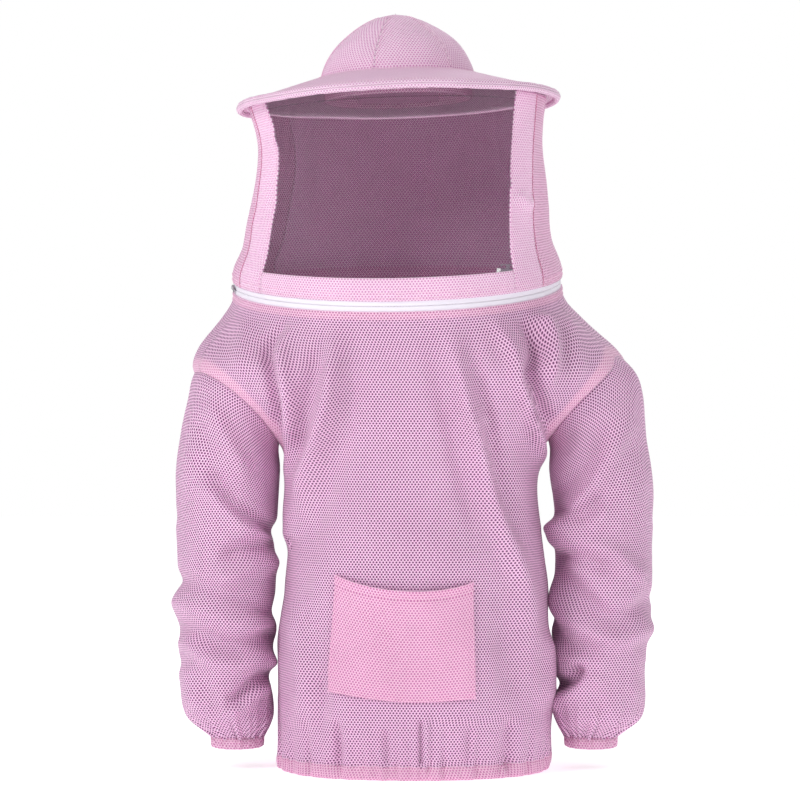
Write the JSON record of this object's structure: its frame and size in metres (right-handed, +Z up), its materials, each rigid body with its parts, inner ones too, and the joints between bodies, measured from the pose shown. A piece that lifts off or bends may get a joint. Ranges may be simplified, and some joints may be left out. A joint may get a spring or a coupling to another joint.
{
  "type": "beekeeping jacket",
  "caption": "Ventilated pullover beekeeping jacket with a zipped-on round hat, black net veil window, front patch pocket, elastic hem and elastic cuffs.",
  "frame": {"origin": "centre of the footprint, on the plane of the hem's underside", "axes": "+Z up through the crown, -Y out of the front of the jacket, +X to the wearer's left"},
  "size_m": [0.5706, 0.389, 0.9011],
  "materials": {
    "spacer_mesh": "matt",
    "double_mesh": "matt",
    "black_net": "matt",
    "zip_tape": "matt",
    "elastic": "matt",
    "zip_teeth": "satin",
    "zip_metal": "satin",
    "spring_wire": "satin"
  },
  "bodies": {
    "jacket": {"front_panel": "spacer_mesh", "back_panel": "spacer_mesh", "hem_casing": "double_mesh", "hem_elastic": "elastic", "pocket_patch": "double_mesh", "pocket_top_hem": "double_mesh", "neck_seam_binding": "double_mesh", "zip_tape_jacket": "zip_tape", "zip_coil_jacket": "zip_teeth", "zip_top_stop": "zip_metal", "zip_retainer_box": "zip_metal"},
    "hood": {"hood_side_left": "spacer_mesh", "hood_side_right": "spacer_mesh", "hood_back_panel": "spacer_mesh", "window_band_lower": "double_mesh", "window_strip_left": "double_mesh", "window_strip_right": "double_mesh", "veil_window": "black_net", "veil_header": "black_net", "zip_tape_hood": "zip_tape", "zip_coil_hood": "zip_teeth", "brim_upper": "double_mesh", "brim_lower": "double_mesh", "brim_binding": "double_mesh", "brim_hoop": "spring_wire", "sweatband": "double_mesh", "sweatband_elastic": "elastic", "crown_gore_1": "spacer_mesh", "crown_gore_2": "spacer_mesh", "crown_gore_3": "spacer_mesh", "crown_gore_4": "spacer_mesh", "crown_gore_5": "spacer_mesh", "crown_gore_6": "spacer_mesh"},
    "sleeve_left": {"sleeve_left": "spacer_mesh", "cuff_casing_left": "double_mesh", "cuff_elastic_left": "elastic"},
    "sleeve_right": {"sleeve_right": "spacer_mesh", "cuff_casing_right": "double_mesh", "cuff_elastic_right": "elastic"},
    "slider": {"zip_slider": "zip_metal"},
    "pull": {"zip_pull": "zip_metal"}
  },
  "joints": [
    {"name": "hood_flip", "type": "hinge", "parent": "jacket", "child": "hood", "pos_m": [-0.02, 0.13, 0.604], "axis": [-1, 0, 0], "range_deg": [0, 90]},
    {"name": "sleeve_left_raise", "type": "hinge", "parent": "jacket", "child": "sleeve_left", "pos_m": [0.265, 0, 0.481], "axis": [0, -1, 0], "range_deg": [0, 41]},
    {"name": "sleeve_right_raise", "type": "hinge", "parent": "jacket", "child": "sleeve_right", "pos_m": [-0.265, 0, 0.481], "axis": [0, 1, 0], "range_deg": [0, 41]},
    {"name": "zip_travel", "type": "hinge", "parent": "jacket", "child": "slider", "pos_m": [-0.02, 0.044, 0.58214], "axis": [-0.0157, -0.1819, 0.9832], "range_deg": [0, 168]},
    {"name": "pull_swing", "type": "hinge", "parent": "slider", "child": "pull", "pos_m": [-0.219, 0.02343, 0.57515], "axis": [0.0157, 0.1819, -0.9832], "range_deg": [0, 160]}
  ]
}
